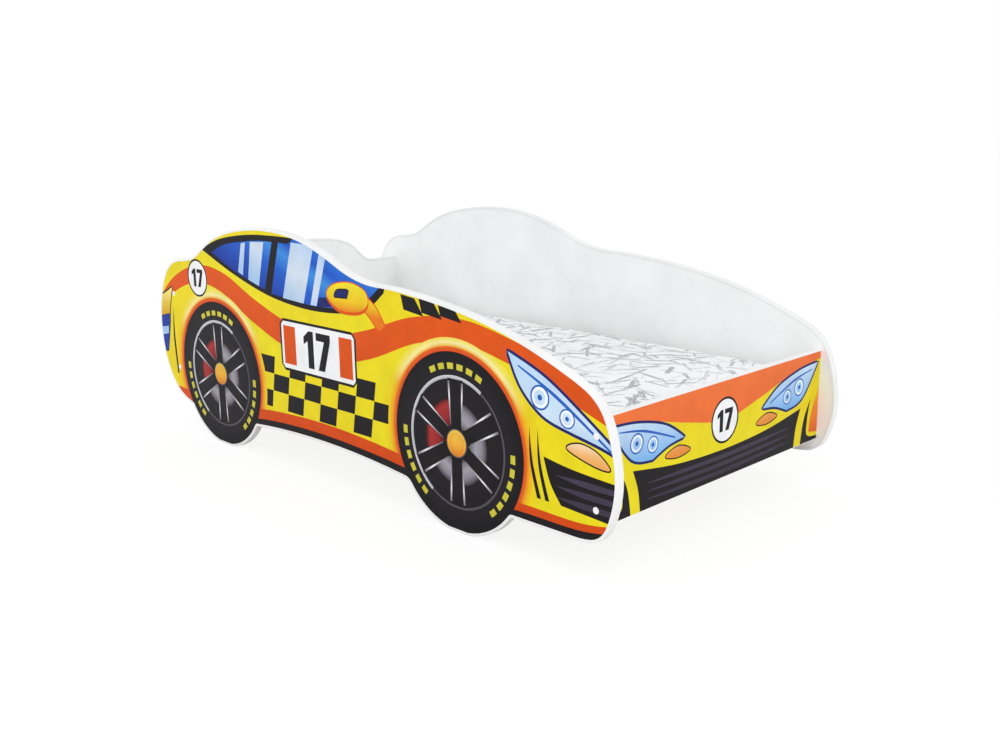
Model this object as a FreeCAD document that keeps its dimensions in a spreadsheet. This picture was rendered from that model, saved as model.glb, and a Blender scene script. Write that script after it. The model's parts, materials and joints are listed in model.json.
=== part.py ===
"""Child's bed in the shape of a racing car: two cut-out side panels, a front panel, a headboard, a slatted
base and a mattress. Millimetres. +X points to the car's nose, +Y to its left side, +Z up. The origin lies
on the floor, under the middle of the bed."""

import FreeCAD
import Part
import math
import os
import re
import Sketcher

VECTOR = FreeCAD.Vector
DOC = FreeCAD.newDocument("CarBed")
TOUCH = 0.01
LEVEL = 0.999
DIAGONAL = math.sqrt(0.5)
RIGHT = -1
LEFT = 1
SIDES = (("right", RIGHT), ("left", LEFT))

# ---------------------------------------------------------------------------------------------------------
# Driving sizes. Heights are above the floor. The tail and the nose are the rearmost and the foremost point of
# the side panel with its edge profile.
# ---------------------------------------------------------------------------------------------------------

SIZES = [
    ("mattress_length", 1400, "standard cot-bed mattress"),
    ("mattress_width", 700, "standard cot-bed mattress"),
    ("mattress_height", 80, "at its long edges"),
    ("mattress_side_gap", 5, "to each side panel"),
    ("mattress_end_gap", 2.5, "to the front panel and the headboard"),
    ("mattress_rest_gap", 0.3, "clearance over the slats"),
    ("mattress_crown", 6, "rise of the top from its edges to its middle"),
    ("mattress_end_drop", 4, "how much lower the top is at head and foot"),
    ("mattress_waist", 5, "how far each long side is drawn in between its corners"),
    ("mattress_corner", 45, "corner radius seen from above"),
    ("mattress_border", 18, "radius of the soft top and bottom edges"),
    ("mattress_fold", 2, "what is left of the border's radius at head and foot"),
    ("corner_steps", 5, "cuts round a corner of the mattress"),
    ("cover_thickness", 2, "cover round the foam, at its thinnest"),
    ("foam_corner", 30, "chamfer on the foam core's upright corners"),
    ("panel_thickness", 16, "side panel's board"),
    ("front_thickness", 16, "front panel's board"),
    ("head_thickness", 16, "headboard's board"),
    ("profile_rim", 2, "edge profile outside the board's edge"),
    ("profile_lip", 4, "how far the profile's lips reach over the board"),
    ("profile_skin", 1, "thickness of the profile's lips"),
    ("tail_overhang", 74, "side panel behind the headboard"),
    ("nose_overhang", 39, "side panel ahead of the front panel"),
    ("wheel_radius", 184, "wheel in the side panel's outline"),
    ("wheel_flat", 54, "flat that a wheel stands on"),
    ("rear_hub_share", 0.1858, "rear wheel's centre, from the tail as a share of the car's length"),
    ("front_hub_share", 0.2561, "front wheel's centre, from the nose as a share of the car's length"),
    ("wheel_fillet", 5, "inner corner between wheel and sill"),
    ("arch_fillet", 26, "softer inner corner behind the front wheel"),
    ("flat_fillet", 40, "where a wheel's curve meets the flat it stands on"),
    ("arch_rear_height", 58, "arched sill, at the rear hub"),
    ("arch_middle_height", 90, "arched sill, half way between the hubs"),
    ("arch_front_height", 54, "arched sill, at the front hub"),
    ("sill_front_height", 69, "straight sill under the nose"),
    ("front_bottom", 104, "front panel's lower edge"),
    ("front_height", 195, "front panel with its edge bands"),
    ("band_thickness", 1, "edge band of the front panel"),
    ("head_bottom", 144, "headboard's lower edge"),
    ("head_shoulder", 388, "headboard's straight shoulders"),
    ("head_crest", 466, "top of the headboard's hump"),
    ("hump_half_width", 268, "half width of the hump at the shoulders"),
    ("hump_slope_out", 205, "middle of the hump's slope, from the centre"),
    ("hump_slope_height", 431, "middle of the hump's slope"),
    ("hump_brow_out", 110, "where the hump begins to fall, from the centre"),
    ("hump_brow_height", 462, "where the hump begins to fall"),
    ("slat_top", 185, "upper face of the slats"),
    ("slat_thickness", 18, "slat"),
    ("slat_width", 68, "slat"),
    ("slat_count", 12, "slats"),
    ("slat_play", 2, "from a slat's end to the side panel"),
    ("slat_ease", 2.5, "chamfer on a slat's long edges"),
    ("slat_first_gap", 18, "headboard to first slat, and last slat to front panel"),
    ("rail_width", 30, "timber rail under the slats' ends"),
    ("rail_height", 40, "timber rail under the slats' ends"),
    ("rail_play", 5, "from a rail's end to the headboard or the front panel"),
    ("rail_chamfer", 2, "rail's inner lower edge"),
    ("tape_width", 30, "webbing that spaces the slats"),
    ("tape_thickness", 1.2, "webbing that spaces the slats"),
    ("tape_spacing", 400, "between the middles of the two tapes"),
    ("staple_width", 10, "staple, outside its legs"),
    ("staple_leg", 10, "staple, with its back"),
    ("staple_wire", 1.2, "staple, square wire"),
    ("confirmat_length", 50, "screws through the side panels, flush with the board's face"),
    ("confirmat_shank", 3.5, "radius"),
    ("confirmat_head", 5, "radius"),
    ("confirmat_cone", 4, "depth of the countersunk head"),
    ("front_screw_inset", 31.5, "front panel's screws, from its upper and lower edges"),
    ("head_screw_low", 24, "headboard's lower screws, over its lower edge"),
    ("head_screw_high", 26, "headboard's upper screws, under its shoulders"),
    ("cap_radius", 6.5, "screw cover cap"),
    ("cap_height", 1.2, "screw cover cap"),
    ("cap_taper", 1, "how much smaller the cap's outer face is"),
    ("rail_screw_length", 40, "countersunk wood screw"),
    ("rail_screw_count", 5, "in each rail"),
    ("rail_screw_inset", 60, "from a rail's ends to its outer screws"),
    ("slat_screw_length", 45, "countersunk wood screw in an end slat"),
    ("wood_screw_shank", 2, "radius"),
    ("wood_screw_head", 4, "radius"),
    ("wood_screw_cone", 2.4, "depth of the countersunk head"),
    ("screw_play", 0.1, "round every screw and staple leg"),
    ("screw_sides", 8, "flats round a hidden screw, which keep its faces few"),
    ("cap_sides", 20, "flats round a cover cap"),
    ("outline_tolerance", 0.5, "how far the outline's arcs may leave its smooth line"),
]

# The free outline of a side panel with its edge profile, as (name, distance from the tail or the nose as a
# share of the car's length, height). One smooth line goes through them, from the rear wheel over the bumper,
# tail, roof and bonnet to the chin.
TAIL_STATIONS = [
    ("bumper_end", 0.1000, 70),
    ("bumper_rise", 0.0484, 100),
    ("bumper_heel", 0.0235, 138),
    ("bumper_back", 0.0023, 222),
    ("tail_point", 0.0000, 284),
    ("tail_upper", 0.0019, 308),
    ("fender_top", 0.0535, 444),
    ("deck_end", 0.1329, 470),
    ("roof_foot", 0.1477, 484),
    ("roof_rise", 0.1897, 518),
    ("roof_rear", 0.2639, 547),
    ("roof_top", 0.3342, 555),
]
NOSE_STATIONS = [
    ("screen_top", 0.5845, 544),
    ("screen_middle", 0.5297, 521),
    ("screen_foot", 0.4368, 472),
    ("scuttle", 0.3858, 467),
    ("bonnet_rear", 0.3090, 457),
    ("bonnet_middle", 0.1774, 422),
    ("bonnet_front", 0.0587, 358),
    ("nose_shoulder", 0.0281, 330),
    ("nose_face", 0.0058, 255),
    ("nose_point", 0.0000, 192),
    ("nose_under", 0.0065, 129),
    ("chin_front", 0.0219, 85),
]
CHIN_SHARE = ("chin_share", 0.0613, "from the nose to where the front sill begins")

# Sizes that follow from the ones above, in the same sheet.
DERIVED = [
    ("inner_length", "mattress_length + 2 * mattress_end_gap"),
    ("inner_half", "mattress_width / 2 + mattress_side_gap"),
    ("outer_half", "inner_half + panel_thickness"),
    ("car_length", "tail_overhang + head_thickness + inner_length + front_thickness + nose_overhang"),
    ("tail_x", "-car_length / 2"),
    ("nose_x", "car_length / 2"),
    ("rear_hub_x", "tail_x + car_length * rear_hub_share"),
    ("front_hub_x", "nose_x - car_length * front_hub_share"),
    ("hub_height", "sqrt(wheel_radius ^ 2 - wheel_flat ^ 2 / 4)"),
    ("head_back_x", "tail_x + tail_overhang"),
    ("head_face_x", "head_back_x + head_thickness"),
    ("front_back_x", "head_face_x + inner_length"),
    ("head_middle_x", "head_back_x + head_thickness / 2"),
    ("front_middle_x", "front_back_x + front_thickness / 2"),
    ("front_board_bottom", "front_bottom + band_thickness"),
    ("front_board_height", "front_height - 2 * band_thickness"),
    ("front_board_top", "front_board_bottom + front_board_height"),
    ("slat_bottom", "slat_top - slat_thickness"),
    ("slat_length", "2 * inner_half - 2 * slat_play"),
    ("slat_start_x", "head_face_x + slat_first_gap"),
    ("slat_pitch", "(inner_length - 2 * slat_first_gap - slat_width) / (slat_count - 1)"),
    ("tape_length", "inner_length - 2 * slat_first_gap"),
    ("rail_bottom", "slat_bottom - rail_height"),
    ("rail_length", "inner_length - 2 * rail_play"),
    ("rail_start_x", "head_face_x + rail_play"),
    ("rail_middle_height", "slat_bottom - rail_height / 2"),
    ("rail_inner_half", "inner_half - rail_width"),
    ("mattress_bottom", "slat_top + mattress_rest_gap"),
    ("mattress_middle_x", "head_face_x + inner_length / 2"),
]


def make_sheet():
    """The spreadsheet: driving sizes as plain numbers, then what follows from them."""
    sheet = DOC.addObject("Spreadsheet::Sheet", "Dims")
    rows = list(SIZES)
    for name, share, height in TAIL_STATIONS:
        rows.append((name + "_share", share, "from the tail"))
        rows.append((name + "_height", height, "above the floor"))
    for name, share, height in NOSE_STATIONS:
        rows.append((name + "_share", share, "from the nose"))
        rows.append((name + "_height", height, "above the floor"))
    rows.append(CHIN_SHARE)
    for name, formula in DERIVED:
        rows.append((name, "=" + formula, "follows from the sizes above"))
    for number, (name, content, note) in enumerate(rows, start=1):
        sheet.set(f"A{number}", name)
        sheet.set(f"B{number}", str(content))
        sheet.set(f"C{number}", note)
        sheet.setAlias(f"B{number}", name)
    DOC.recompute()
    return sheet, {name for name, _, _ in rows}


DIMS, ALIASES = make_sheet()


def size(name):
    """A size from the sheet, as a number."""
    return float(getattr(DIMS, name))


def cells(formula):
    """A formula in the sheet's words, as an expression for another object."""
    return re.sub(r"[a-z_]+", lambda word: f"Dims.{word[0]}" if word[0] in ALIASES else word[0], formula)


def bind(item, **formulas):
    """Tie an object's properties to the sheet."""
    for attribute, formula in formulas.items():
        item.setExpression(attribute, cells(formula))
    return item


def place(item, along, across, up):
    """Tie an object's position to the sheet."""
    for letter, formula in zip("xyz", (along, across, up)):
        item.setExpression(f"Placement.Base.{letter}", cells(formula))
    return item


def box(name, lengths, corner):
    """A block whose three lengths and lowest corner are formulas."""
    block = DOC.addObject("Part::Box", name)
    bind(block, Length=lengths[0], Width=lengths[1], Height=lengths[2])
    return place(block, *corner)


def feature(name, shape):
    """A piece whose shape is worked out here from the sheet's sizes."""
    item = DOC.addObject("Part::Feature", name)
    item.Shape = shape
    return item


def cut(name, base, tool):
    """A piece with the room for others taken out of it."""
    result = DOC.addObject("Part::Cut", name)
    result.Base = base
    result.Tool = tool
    return result


def side_of(side, formula):
    """A distance from the bed's centre line, on the right (-Y) or on the left (+Y)."""
    return formula if side == LEFT else f"-({formula})"


def sketch_on(body, role, offset):
    """A sketch on one of the body's origin planes, moved along the plane's normal."""
    sketch = body.newObject("Sketcher::SketchObject", body.Name + "_sketch")
    plane = [item for item in body.Origin.OriginFeatures if item.Role == role][0]
    sketch.AttachmentSupport = [(plane, "")]
    sketch.MapMode = "FlatFace"
    sketch.setExpression("AttachmentOffset.Base.z", cells(offset))
    return sketch


def join_ends(sketch, count):
    """The end of each of the sketch's first curves meets the start of the next."""
    for index in range(count):
        sketch.addConstraint(Sketcher.Constraint("Coincident", index, 2, (index + 1) % count, 1))


def pad(body, sketch, name, thickness):
    """A plate from a sketch, away from the bed's middle."""
    plate = body.newObject("PartDesign::Pad", name)
    plate.Profile = sketch
    bind(plate, Length=thickness)
    return plate


# ---------------------------------------------------------------------------------------------------------
# Side panels
# ---------------------------------------------------------------------------------------------------------

def outline_points():
    """The free outline's stations, from the rear bumper to the chin, in the panel's plane."""
    length = size("car_length")
    points = []
    for name, _, _ in TAIL_STATIONS:
        along = size("tail_x") + length * size(name + "_share")
        points.append(VECTOR(along, size(name + "_height"), 0))
    for name, _, _ in NOSE_STATIONS:
        along = size("nose_x") - length * size(name + "_share")
        points.append(VECTOR(along, size(name + "_height"), 0))
    chin = size("nose_x") - length * size("chin_share")
    points.append(VECTOR(chin, size("sill_front_height"), 0))
    return points


def draw_car(sketch):
    """The car without its wheels: the free outline, the front sill and the arched sill."""
    points = outline_points()
    start = points[0]
    chin = points[-1]
    rise = (points[1] - start).normalize()
    upper = Part.BSplineCurve()
    upper.interpolate(Points=points, InitialTangent=rise, FinalTangent=VECTOR(-1, 0, 0), Scale=False)
    arcs = upper.toBiArcs(size("outline_tolerance"))
    inside = VECTOR(size("front_hub_x"), size("sill_front_height"), 0)
    front = VECTOR(size("front_hub_x"), size("arch_front_height"), 0)
    rear = VECTOR(size("rear_hub_x"), size("arch_rear_height"), 0)
    middle = VECTOR((front.x + rear.x) / 2, size("arch_middle_height"), 0)
    under = [Part.LineSegment(chin, inside), Part.LineSegment(inside, front), Part.Arc(front, middle, rear),
             Part.LineSegment(rear, start)]
    for curve in arcs + under:
        sketch.addGeometry(curve, False)


def draw_wheels(sketch):
    """Two circles on the hubs, tied to the sheet."""
    for index, hub in enumerate(("rear_hub_x", "front_hub_x")):
        centre = VECTOR(size(hub), size("hub_height"), 0)
        sketch.addGeometry(Part.Circle(centre, VECTOR(0, 0, 1), size("wheel_radius")), False)
        radius = sketch.addConstraint(Sketcher.Constraint("Radius", index, size("wheel_radius")))
        along = sketch.addConstraint(Sketcher.Constraint("DistanceX", -1, 1, index, 3, centre.x))
        up = sketch.addConstraint(Sketcher.Constraint("DistanceY", -1, 1, index, 3, centre.y))
        sketch.setExpression(f"Constraints[{radius}]", cells("wheel_radius"))
        sketch.setExpression(f"Constraints[{along}]", cells(hub))
        sketch.setExpression(f"Constraints[{up}]", cells("hub_height"))


def draw_floor_cut(sketch):
    """What would reach below the standing flats."""
    low = -size("wheel_radius")
    corners = [(size("tail_x"), low), (size("nose_x"), low), (size("nose_x"), 0), (size("tail_x"), 0)]
    points = [VECTOR(along, up, 0) for along, up in corners]
    for index, point in enumerate(points):
        sketch.addGeometry(Part.LineSegment(point, points[(index + 1) % len(points)]), False)
    join_ends(sketch, len(points))


def wheel_corners(shape):
    """Corners on the wheels: sharp and soft inner ones at the car's underside, and those at the floor."""
    sharp = []
    soft = []
    floor = []
    for number, edge in enumerate(shape.Edges, start=1):
        ends = [vertex.Point for vertex in edge.Vertexes]
        if len(ends) < 2 or abs(ends[0].x - ends[1].x) > TOUCH or abs(ends[0].z - ends[1].z) > TOUCH:
            continue
        for hub in ("rear_hub_x", "front_hub_x"):
            out = ends[0].x - size(hub)
            up = ends[0].z - size("hub_height")
            on_wheel = abs(math.hypot(out, up) - size("wheel_radius")) < TOUCH
            if on_wheel:
                inner = soft if hub == "front_hub_x" and out < 0 else sharp
                chosen = floor if ends[0].z < TOUCH else inner
                chosen.append(f"Edge{number}")
    return sharp, soft, floor


def make_outline():
    """The right panel's outline, as thick as the board and the profile's two lips."""
    body = DOC.addObject("PartDesign::Body", "panel_outline")
    car = sketch_on(body, "XZ_Plane", "inner_half - profile_skin")
    draw_car(car)
    pad(body, car, "car_plate", "panel_thickness + 2 * profile_skin")
    wheels = sketch_on(body, "XZ_Plane", "inner_half - profile_skin")
    draw_wheels(wheels)
    wheel_pad = pad(body, wheels, "wheel_plate", "panel_thickness + 2 * profile_skin")
    DOC.recompute()
    floor = sketch_on(body, "XZ_Plane", "outer_half + profile_skin")
    draw_floor_cut(floor)
    floor_cut = body.newObject("PartDesign::Pocket", "standing_flats")
    floor_cut.Profile = floor
    floor_cut.Type = 0
    bind(floor_cut, Length="panel_thickness + 2 * profile_skin")
    DOC.recompute()
    if not floor_cut.Shape.Volume < wheel_pad.Shape.Volume:
        raise RuntimeError("the standing flats were not cut")
    rounded = floor_cut
    for order, radius in enumerate(("wheel_fillet", "arch_fillet", "flat_fillet")):
        corners = wheel_corners(rounded.Shape)[order]
        next_round = body.newObject("PartDesign::Fillet", radius + "s")
        next_round.Base = (rounded, corners)
        bind(next_round, Radius=radius)
        DOC.recompute()
        rounded = next_round
    return body


def flat_face(shape, normal):
    """The largest flat face that looks along the normal."""
    facing = []
    for face in shape.Faces:
        if isinstance(face.Surface, Part.Plane) and face.normalAt(0, 0).dot(normal) > LEVEL:
            facing.append(face)
    return max(facing, key=lambda face: face.Area)


def drawn_in(edges, joints, normal, inset):
    """A chain of tangent lines and arcs, moved to the left of its travel by the inset. The normal points at
    the onlooker, and the joints are the chain's corners in order, one more than its edges."""
    curves = []
    for edge, joint in zip(edges, joints):
        first, last = edge.ParameterRange
        along = 1
        if (edge.valueAt(first) - joint).Length > TOUCH:
            first, last = last, first
            along = -1
        points = []
        for parameter in (first, (first + last) / 2, last):
            tangent = edge.tangentAt(parameter) * along
            points.append(edge.valueAt(parameter) + normal.cross(tangent) * inset)
        if isinstance(edge.Curve, Part.Line):
            curves.append(Part.LineSegment(points[0], points[2]))
        else:
            curves.append(Part.Arc(*points))
    return curves


def loop_in(face, inset):
    """The curves of a face's outline, drawn in by the inset all round."""
    wire = face.OuterWire
    edges = wire.OrderedEdges
    joints = [vertex.Point for vertex in wire.OrderedVertexes]
    joints.append(joints[0])
    normal = face.normalAt(0, 0)
    inner = drawn_in(edges, joints, normal, size("profile_rim"))
    if not face.isInside(inner[0].value(inner[0].FirstParameter), TOUCH, True):
        normal = -normal
    return drawn_in(edges, joints, normal, inset)


def plate(curves, start, depth):
    """A plate from a closed chain of curves, moved to its start."""
    wire = Part.Wire([curve.toShape() for curve in curves])
    wire.translate(start)
    return Part.Face(wire).extrude(depth)


def clip_on_profile(outer, window, board, normal, thickness):
    """The soft C-shaped profile round a board: a rim outside its edge and a lip over each face. Its outer
    and inner curves lie in the plane of its front."""
    skin = size("profile_skin")
    envelope = plate(outer, VECTOR(0, 0, 0), normal * -(thickness + 2 * skin))
    opening = plate(window, normal * skin, normal * -(thickness + 4 * skin))
    return envelope.cut(opening).cut(board)


def make_panel_board(outline):
    """The right panel's board, before its screw holes."""
    body = DOC.addObject("PartDesign::Body", "panel_board")
    sketch = sketch_on(body, "XZ_Plane", "inner_half")
    front = flat_face(outline.Shape, VECTOR(0, RIGHT, 0))
    for curve in loop_in(front, size("profile_rim")):
        begin, middle, end = [in_plane(curve, share) for share in (0, 0.5, 1)]
        if isinstance(curve, Part.LineSegment):
            sketch.addGeometry(Part.LineSegment(begin, end), False)
        else:
            sketch.addGeometry(Part.Arc(begin, middle, end), False)
    pad(body, sketch, "board_plate", "panel_thickness")
    DOC.recompute()
    return body


def in_plane(curve, share):
    """A point part of the way along an upright curve, in the side panel's own plane."""
    point = curve.value(curve.FirstParameter + share * (curve.LastParameter - curve.FirstParameter))
    return VECTOR(point.x, point.z, 0)


# ---------------------------------------------------------------------------------------------------------
# Fasteners. Each stands on its own axis: its head's outer face is at the origin, its tip along -Z.
# ---------------------------------------------------------------------------------------------------------

def turned(profile, sides):
    """A near-round solid about the Z axis, through (radius, height) points, with a few flat sides."""
    rings = []
    for radius, height in profile:
        corners = []
        for index in range(sides):
            angle = 2 * math.pi * index / sides
            corners.append(VECTOR(radius * math.cos(angle), radius * math.sin(angle), height))
        rings.append(Part.makePolygon(corners + [corners[0]]))
    return Part.makeLoft(rings, True, True)


def countersunk(kind, length, play=0):
    """Screw with a countersunk head and a blunt tip. With play it is the hole for one."""
    head = size(kind + "_head") + play
    shank = size(kind + "_shank") + play
    profile = [(head, play), (shank, -size(kind + "_cone")), (shank, -size(length) - play)]
    return turned(profile, int(size("screw_sides")))


def cover_cap():
    """Round cap, a little smaller at its outer face, with its underside at the origin."""
    radius = size("cap_radius")
    return turned([(radius, 0), (radius - size("cap_taper"), size("cap_height"))], int(size("cap_sides")))


def staple(play=0):
    """Staple with its back at the origin's height and its legs along -Z. With play it is its legs' room."""
    wire = size("staple_wire") + 2 * play
    half = size("staple_width") / 2 + play
    leg = size("staple_leg") + play
    legs = []
    for edge in (-half, half - wire):
        legs.append(Part.makeBox(wire, wire, leg, VECTOR(-wire / 2, edge, -leg)))
    if play:
        return Part.makeCompound(legs)
    back = Part.makeBox(wire, 2 * half, wire, VECTOR(-wire / 2, -half, -wire))
    return back.fuse(legs).removeSplitter()


def spread(shape, spots):
    """Copies of a fastener: each spot is a point and the direction that its head faces."""
    copies = []
    for point, direction in spots:
        turn = FreeCAD.Rotation(VECTOR(0, 0, 1), direction)
        copies.append(shape.copy().transformed(FreeCAD.Placement(point, turn).toMatrix()))
    return Part.makeCompound(copies)


def panel_screw_spots(along, heights):
    """Screws through the side panels' outer faces."""
    spots = []
    for side in (RIGHT, LEFT):
        for height in heights:
            spots.append((VECTOR(along, side * size("outer_half"), height), VECTOR(0, side, 0)))
    return spots


def front_screw_spots():
    """The front panel's screws."""
    inset = size("front_screw_inset")
    top = size("front_bottom") + size("front_height")
    heights = (size("front_bottom") + inset, top - inset)
    return panel_screw_spots(size("front_middle_x"), heights)


def head_screw_spots():
    """The headboard's screws."""
    heights = (size("head_bottom") + size("head_screw_low"), size("head_shoulder") - size("head_screw_high"))
    return panel_screw_spots(size("head_middle_x"), heights)


def rail_screw_spots():
    """Screws through each rail into its side panel."""
    count = int(size("rail_screw_count"))
    start = size("rail_start_x") + size("rail_screw_inset")
    pitch = (size("rail_length") - 2 * size("rail_screw_inset")) / (count - 1)
    spots = []
    for side in (RIGHT, LEFT):
        for index in range(count):
            point = VECTOR(start + index * pitch, side * size("rail_inner_half"), size("rail_middle_height"))
            spots.append((point, VECTOR(0, -side, 0)))
    return spots


def slat_screw_spots():
    """Screws through the two end slats into the rails."""
    first = size("slat_start_x") + size("slat_width") / 2
    last = first + (size("slat_count") - 1) * size("slat_pitch")
    across = (size("rail_inner_half") + size("inner_half")) / 2
    spots = []
    for along in (first, last):
        for side in (RIGHT, LEFT):
            spots.append((VECTOR(along, side * across, size("slat_top")), VECTOR(0, 0, 1)))
    return spots


def staple_spots():
    """One staple in each slat for each tape, from below."""
    back = size("slat_bottom") - size("tape_thickness") - size("staple_wire")
    spots = []
    for index in range(int(size("slat_count"))):
        along = size("slat_start_x") + size("slat_width") / 2 + index * size("slat_pitch")
        for side in (RIGHT, LEFT):
            spots.append((VECTOR(along, side * size("tape_spacing") / 2, back), VECTOR(0, 0, -1)))
    return spots


# ---------------------------------------------------------------------------------------------------------
# Front panel, headboard, base and mattress
# ---------------------------------------------------------------------------------------------------------

def make_front_panel(holes):
    """Straight board between the side panels, with a band on its upper and lower edges."""
    board = box("front_board", ("front_thickness", "2 * inner_half", "front_board_height"),
                ("front_back_x", "-inner_half", "front_board_bottom"))
    bands = []
    for name, height in (("lower_band", "front_bottom"), ("upper_band", "front_board_top")):
        bands.append(box(name, ("front_thickness", "2 * inner_half", "band_thickness"),
                         ("front_back_x", "-inner_half", height)))
    group = DOC.addObject("Part::Compound", "front_panel_edge_bands")
    group.Links = bands
    return [cut("front_panel", board, holes), group]


def head_top():
    """The headboard's top with its profile: straight shoulders and a hump, from left to right. The curves
    lie in a plane whose X runs across the bed."""
    shoulder = size("head_shoulder")
    side = VECTOR(size("inner_half"), shoulder, 0)
    right = [(size("hump_half_width"), shoulder),
             (size("hump_slope_out"), size("hump_slope_height")),
             (size("hump_brow_out"), size("hump_brow_height"))]
    left = [(-out, up) for out, up in reversed(right)]
    points = [VECTOR(out, up, 0) for out, up in right + [(0, size("head_crest"))] + left]
    inward = VECTOR(-1, 0, 0)
    hump = Part.BSplineCurve()
    hump.interpolate(Points=points, InitialTangent=inward, FinalTangent=inward, Scale=False)
    arcs = hump.toBiArcs(size("outline_tolerance"))
    far = VECTOR(-side.x, side.y, 0)
    return [Part.LineSegment(side, points[0])] + arcs + [Part.LineSegment(points[-1], far)]


def head_curves(inset, low):
    """The headboard's outline down to a height, with its top drawn in by the inset."""
    edges = [curve.toShape() for curve in head_top()]
    joints = [curve.value(curve.FirstParameter) for curve in head_top()]
    joints.append(VECTOR(-joints[0].x, joints[0].y, 0))
    curves = drawn_in(edges, joints, VECTOR(0, 0, 1), inset)
    begin = curves[0].value(curves[0].FirstParameter)
    end = curves[-1].value(curves[-1].LastParameter)
    corners = [end, VECTOR(end.x, low, 0), VECTOR(begin.x, low, 0), begin]
    for first, second in zip(corners, corners[1:]):
        curves.append(Part.LineSegment(first, second))
    return curves


def head_plate(inset, low, back, thickness):
    """An upright plate with the headboard's outline."""
    wire = Part.Wire([curve.toShape() for curve in head_curves(inset, low)])
    upright = FreeCAD.Rotation(VECTOR(0, 1, 0), VECTOR(0, 0, 1), VECTOR(1, 0, 0), "XYZ")
    wire.Placement = FreeCAD.Placement(VECTOR(back, 0, 0), upright)
    return Part.Face(wire).extrude(VECTOR(thickness, 0, 0))


def make_headboard(holes):
    """Headboard, and the profile along its shaped top."""
    body = DOC.addObject("PartDesign::Body", "head_board")
    sketch = sketch_on(body, "YZ_Plane", "head_back_x")
    for curve in head_curves(size("profile_rim"), size("head_bottom")):
        sketch.addGeometry(curve, False)
    pad(body, sketch, "head_pad", "head_thickness")
    DOC.recompute()
    skin = size("profile_skin")
    wide = size("head_thickness") + 2 * skin
    back = size("head_back_x") - skin
    low = size("head_shoulder") - size("profile_rim") - size("profile_lip")
    envelope = head_plate(0, low, back, wide)
    window = head_plate(size("profile_rim") + size("profile_lip"), low - skin, back - skin, wide + 2 * skin)
    profile = envelope.cut(window).cut(body.Shape)
    return [cut("headboard", body, holes), feature("headboard_edge_profile", profile)]


def make_rails(screw_holes, end_holes):
    """Timber rails along the side panels, which carry the slats."""
    rails = []
    room = DOC.addObject("Part::Compound", "rail_holes")
    room.Links = [screw_holes, end_holes]
    for name, side in SIDES:
        outer = "inner_half" if side == RIGHT else "rail_inner_half"
        stick = box(f"rail_stick_{name}", ("rail_length", "rail_width", "rail_height"),
                    ("rail_start_x", side_of(side, outer), "rail_bottom"))
        DOC.recompute()
        inner_edge = side * size("rail_inner_half")
        low = []
        for number, edge in enumerate(stick.Shape.Edges, start=1):
            middle = edge.CenterOfMass
            lengthwise = edge.Length > size("rail_length") - TOUCH
            if lengthwise and abs(middle.y - inner_edge) < TOUCH and middle.z < size("rail_middle_height"):
                low.append(number)
        eased = DOC.addObject("Part::Chamfer", f"rail_eased_{name}")
        eased.Base = stick
        eased.Edges = [(number, size("rail_chamfer"), size("rail_chamfer")) for number in low]
        rails.append(cut(f"side_rail_{name}", eased, room))
    return rails


def make_slats(end_holes, staple_holes):
    """The slatted base. Only the two end slats are screwed down."""
    count = int(size("slat_count"))
    slats = []
    both = DOC.addObject("Part::Compound", "end_slat_holes")
    both.Links = [end_holes, staple_holes]
    for index in range(count):
        blank = box(f"slat_blank_{index + 1:02d}", ("slat_width", "slat_length", "slat_thickness"),
                    (f"slat_start_x + {index} * slat_pitch", "-slat_length / 2", "slat_bottom"))
        DOC.recompute()
        long_edges = []
        for number, edge in enumerate(blank.Shape.Edges, start=1):
            if edge.Length > size("slat_length") - TOUCH:
                long_edges.append(number)
        eased = DOC.addObject("Part::Chamfer", f"slat_eased_{index + 1:02d}")
        eased.Base = blank
        eased.Edges = [(number, size("slat_ease"), size("slat_ease")) for number in long_edges]
        tool = both if index in (0, count - 1) else staple_holes
        slats.append(cut(f"slat_{index + 1:02d}", eased, tool))
    return slats


def make_tapes(staple_holes):
    """Two lengths of webbing under the slats."""
    tapes = []
    for name, side in SIDES:
        middle = side_of(side, "tape_spacing / 2")
        strip = box(f"tape_{name}", ("tape_length", "tape_width", "tape_thickness"),
                    ("slat_start_x", f"{middle} - tape_width / 2", "slat_bottom - tape_thickness"))
        tapes.append(cut(f"slat_webbing_{name}", strip, staple_holes))
    return tapes


def rounded_off(radius, end):
    """How far a corner of that radius falls back at a distance from the end."""
    left = radius - min(end, radius)
    return radius - math.sqrt(radius ** 2 - left ** 2)


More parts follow.
